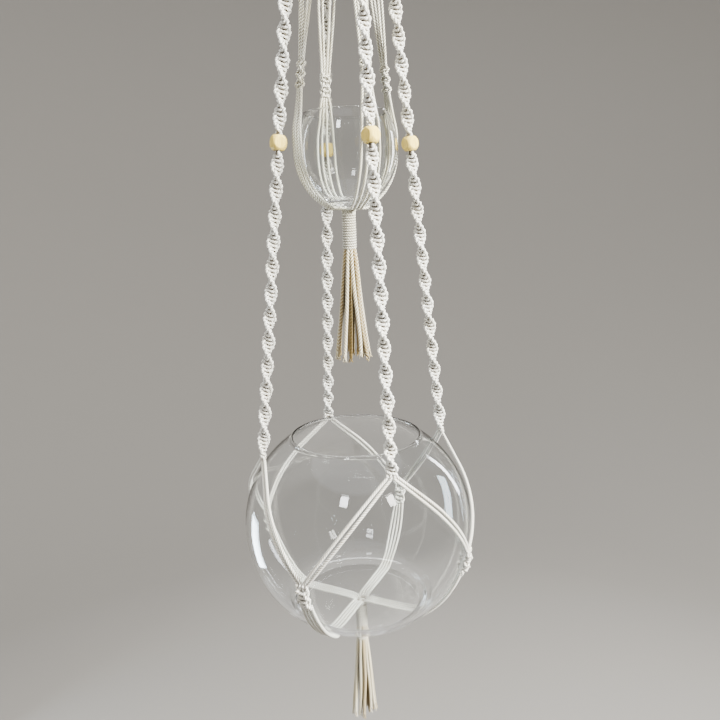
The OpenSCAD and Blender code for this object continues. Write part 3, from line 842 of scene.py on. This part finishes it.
# ---------------------------------------------------------------- beads
def bead(name, az, turn):
    """A cube cut down by a ball, with rounded edges and a bore."""
    sides, rows, bore, ball = 120, 52, 3.8, 8.9
    theta = np.linspace(0, 2 * math.pi, sides, endpoint=False)
    verts, edge = [], math.atan2(BEAD_HALF - 0.15, bore + 0.5)
    for psi in np.linspace(edge, -edge, rows):
        c = np.stack([
            np.cos(theta) * math.cos(psi), np.sin(theta) * math.cos(psi),
            np.full(sides, math.sin(psi)),
        ], 1)
        cube = BEAD_HALF / np.abs(c).max(1)
        rho = (cube**-110 + ball**-110.0) ** (-1 / 110)
        verts.append(c * rho[:, None])
    for r, z in ((bore + 0.12, -6.9), (bore, -6.4), (bore, 0), (bore, 6.4), (bore + 0.12, 6.9)):
        verts.append(np.stack([np.cos(theta) * r, np.sin(theta) * r, np.full(sides, z)], 1))
    rings = len(verts)
    i = np.arange(rings)[:, None]
    k = np.arange(sides)[None]
    nxt, down = (k + 1) % sides, (i + 1) % rings
    faces = np.stack(
        [i * sides + k, down * sides + k, down * sides + nxt, i * sides + nxt], -1
    ).reshape(-1, 4)
    lean = Matrix.Rotation(-math.atan(ARM_SLOPE), 4, "Y")
    spin = Matrix.Rotation(math.radians(turn - az), 4, "Z")
    place = Matrix.Rotation(math.radians(az), 4, "Z") @ lean @ spin
    obj = add_object(
        f"wood_bead_{name}", (np.vstack(verts) * MM).tolist(), faces.tolist(), BEAD_WOOD
    )
    obj.matrix_world = Matrix.Translation(Vector(on_arm(az, BEAD_DROP) * MM)) @ place
    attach(obj, f"bead_{name}")
    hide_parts(f"bead_{name}")


for name, turn in (("right", 15), ("back", 0), ("left", 4), ("front", 28)):
    bead(name, ARMS[name], turn)


# ---------------------------------------------------------------- glass
def lathe(name, profile, body, node, mat, wobble, segments=192):
    """A closed body of glass turned from a profile of (radius, drop), with slight waves."""
    profile = np.asarray(profile, float)
    theta = np.linspace(0, 2 * math.pi, segments, endpoint=False)
    verts, rings = [], []
    for r, drop in profile:
        wave = 1 + wobble * (
            np.sin(3 * theta + drop / 23) + 0.6 * np.sin(5 * theta - drop / 11 + 1)
        ) * min(1, r / 40) / max(r, 1)
        rings.append(np.stack([
            np.cos(theta) * r * wave, np.sin(theta) * r * wave, np.full(segments, -drop)
        ], 1))
    verts = np.vstack(rings[1:-1])
    n = len(rings) - 2
    i = np.arange(n - 1)[:, None] * segments
    k = np.arange(segments)[None]
    nxt = (k + 1) % segments
    faces = np.stack([i + k, i + nxt, i + segments + nxt, i + segments + k], -1)
    faces = faces.reshape(-1, 4).tolist()
    first, last = len(verts), len(verts) + 1
    base = (n - 1) * segments
    faces += [[first, (j + 1) % segments, j] for j in range(segments)]
    faces += [[last, base + j, base + (j + 1) % segments] for j in range(segments)]
    verts = np.vstack([verts, [0, 0, -profile[0][1]], [0, 0, -profile[-1][1]]])
    obj = add_object(name, (verts * MM).tolist(), faces, mat)
    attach(obj, body)
    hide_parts(node)
    return obj


def arc(rx, rz, a, b, n):
    """n points on an ellipse from angle a to angle b, in degrees."""
    t = np.radians(np.linspace(a, b, n))
    return np.column_stack([rx * np.cos(t), rz * np.sin(t)])


def rounded(points, cuts=3):
    """Corner cutting, so that a profile has no sharp edge."""
    p = np.asarray(points, float)
    for _ in range(cuts):
        q = [p[0]]
        for a, b in zip(p[:-1], p[1:], strict=True):
            q += [a * 0.75 + b * 0.25, a * 0.25 + b * 0.75]
        p = np.array(q + [p[-1]])
    return p


def by_bend(points, count):
    """The same line with count points, which lie closer together where it bends."""
    p = np.asarray(points, float)
    step = np.diff(p, axis=0)
    gap = np.hypot(step[:, 0], step[:, 1])
    heading = np.unwrap(np.arctan2(step[:, 1], step[:, 0]))
    bend = np.abs(np.diff(heading, append=heading[-1]))
    s = np.concatenate([[0], np.cumsum(gap / gap.sum() + 2 * bend / bend.sum())])
    t = np.linspace(0, s[-1], count)
    return np.column_stack([np.interp(t, s, p[:, k]) for k in range(2)])


ROUND_IN = 26.0


def bowl_profile(r, rim_r, rim_h, foot_h, foot_r, wall, foot_t, bands):
    """(radius, height) from the middle of the foot, up the outside, down the inside."""
    top_axis = rim_h / math.sqrt(1 - (rim_r / r) ** 2)
    low_axis = (foot_h - 2) / math.sqrt(1 - ((foot_r + 4) / r) ** 2)
    foot_angle = math.degrees(math.asin((foot_h - 2) / low_axis))
    rim_angle = math.degrees(math.asin(rim_h / top_axis))
    in_r, floor_h = r - wall, foot_h - foot_t
    in_top = rim_h / math.sqrt(1 - ((rim_r - wall) / in_r) ** 2)
    in_angle = math.degrees(math.asin(rim_h / in_top))
    foot = by_bend(
        rounded([
            (0, -foot_h), (foot_r * 0.5, -foot_h), (foot_r - 3, -foot_h), (foot_r, -foot_h),
            (foot_r + 2.2, -foot_h + 1.1), (foot_r + 4, -foot_h + 2),
        ], 6), 40,
    )
    outer = arc(r, low_axis, -foot_angle, 0, 64)
    fade = np.exp(-((np.linspace(0, 1, 64) / 0.16) ** 2))
    outer[:, 0] += bands * np.sin(np.arange(64) * 1.35) * fade
    neck = arc(r, top_axis, 0, rim_angle, 44)[1:]
    lip = rounded([
        (rim_r, rim_h), (rim_r + 0.1, rim_h + wall * 0.5), (rim_r - wall / 2, rim_h + wall * 0.62),
        (rim_r - wall - 0.1, rim_h + wall * 0.5), (rim_r - wall, rim_h),
    ])[1:-1]
    # Inside, an even wall runs into the flat floor in one smooth curve. The inverses are one
    # over the distance from the middle to the wall and to the floor.
    t = np.radians(np.linspace(0, 90, 3000))
    wall_inverse = np.hypot(np.cos(t) / in_r, np.sin(t) / (low_axis - wall))
    floor_inverse = np.sin(t) / floor_h
    rho = (wall_inverse**ROUND_IN + floor_inverse**ROUND_IN) ** (-1 / ROUND_IN)
    bottom = by_bend(np.column_stack([rho * np.cos(t), -rho * np.sin(t)]), 130)[1:]
    bottom[-1, 0] = 0
    inside = np.vstack([arc(in_r, in_top, in_angle, 0, 44), bottom])
    return np.vstack([foot, outer[1:], neck, lip, inside])


def bowl(name, node, body, slot, mat, drop, wobble, **sizes):
    """A bowl turned from its profile, with its widest point at drop."""
    profile = bowl_profile(**sizes)
    profile[:, 1] = drop - profile[:, 1]
    return lathe(name, profile, body, node, mat, wobble)


bowl(
    "large_glass_bowl", "large_bowl", "large_bowl", "large_glass", LARGE_GLASS, LARGE_DROP, 0.10,
    r=LARGE_R, rim_r=71.2, rim_h=96, foot_h=LARGE_DEPTH, foot_r=68.8, wall=3.0,
    foot_t=8.0, bands=0.24,
)
bowl(
    "small_glass_bowl", "small_bowl", "small_bowl", "small_glass", SMALL_GLASS, SMALL_DROP, 0.06,
    r=SMALL_R, rim_r=41.8, rim_h=35, foot_h=SMALL_DEPTH, foot_r=SMALL_FOOT_R, wall=1.8,
    foot_t=4.5, bands=0.08,
)

frame["nodes"]["top_ring"].data.materials.clear()
frame["nodes"]["top_ring"].data.materials.append(RING_WOOD)


# ---------------------------------------------------------------- stage and light
paper, _, _ = material("studio_paper", (0.305, 0.288, 0.27), 0.95)
FLOOR_Z, FLAT_R, WALL_R, WALL_TOP = -2.3, 2.2, 4.2, 4.5
profile = [(0.01, FLOOR_Z), (FLAT_R, FLOOR_Z)]
curl = WALL_R - FLAT_R
for k in range(1, 13):
    a = math.pi / 2 * k / 12
    profile.append((FLAT_R + curl * math.sin(a), FLOOR_Z + curl * (1 - math.cos(a))))
profile.append((WALL_R, WALL_TOP))
sides = 96
verts = [
    (r * math.cos(2 * math.pi * k / sides), r * math.sin(2 * math.pi * k / sides), z)
    for r, z in profile
    for k in range(sides)
]
faces = [
    (i + k, i + (k + 1) % sides, i + sides + (k + 1) % sides, i + sides + k)
    for i in range(0, sides * (len(profile) - 1), sides)
    for k in range(sides)
]
add_object("studio_floor", verts, faces, paper)

view = camera.matrix_world.to_3x3()
ahead = Vector((-view.col[2].x, -view.col[2].y, 0)).normalized()
beside = Vector((view.col[0].x, view.col[0].y, 0)).normalized()
focus = Vector((0, 0, -0.85))


def softbox(name, back, side, height, size, power, colour, seen=False):
    """A rectangular lamp: back towards the camera, side to its right, height over the middle.
    Only a lamp that is seen shows up in the glass."""
    data = bpy.data.lights.new(name, "AREA")
    data.shape = "RECTANGLE"
    data.size, data.size_y = size
    data.energy = power
    data.color = colour
    obj = bpy.data.objects.new(name, data)
    bpy.context.scene.collection.objects.link(obj)
    obj.location = focus - ahead * back + beside * side + Vector((0, 0, height))
    obj.rotation_euler = (focus - obj.location).to_track_quat("-Z", "Y").to_euler()
    obj.visible_camera = False
    obj.visible_glossy = seen
    obj.visible_transmission = seen


softbox("key_right", 1.1, 1.9, 0.9, (0.45, 0.7), 275, (0.985, 1.0, 0.975))
softbox("fill_left", 1.4, -1.8, 0.4, (0.8, 1.2), 20, (0.93, 0.96, 1.0))
softbox("overhead", 0.2, 0.1, 2.3, (0.9, 0.9), 58, (0.985, 1.0, 0.98))
softbox("lamp_high", 1.6, -0.5, 1.5, (0.3, 0.42), 13, (0.97, 0.98, 1.0), True)
softbox("lamp_right", 1.2, 1.1, 1.2, (0.26, 0.36), 10, (1.0, 0.97, 0.92), True)
softbox("edge_left", -0.9, -1.6, -1.0, (0.5, 0.8), 15, (0.80, 0.92, 1.0), True)
softbox("rim_light", -1.3, 0.2, 1.9, (1.7, 0.3), 16, (1.0, 1.0, 1.0), True)
softbox("edge_right", -1.3, 1.7, 0.2, (0.16, 1.2), 9, (0.95, 0.97, 1.0), True)

bpy.context.scene.view_settings.look = "AgX - Medium High Contrast"
cycles = bpy.context.scene.cycles
# The thick feet of the bowls carry light along inside them by many reflections.
cycles.max_bounces = 32
cycles.glossy_bounces = 28
cycles.transmission_bounces = 28
world = bpy.data.worlds.new("studio")
bpy.context.scene.world = world
world.use_nodes = True
background = world.node_tree.nodes["Background"]
background.inputs["Color"].default_value = (0.95, 0.96, 1.0, 1)
# The room is brighter in the glass than its light is on the cords.
IN_GLASS, ON_CORDS = 0.75, 0.2
diffuse = add_node(world.node_tree, "LightPath", {}).outputs["Is Diffuse Ray"]
glow = stretched(world.node_tree, diffuse, 0, 1, **{"To Min": IN_GLASS, "To Max": ON_CORDS})
world.node_tree.links.new(glow, background.inputs["Strength"])
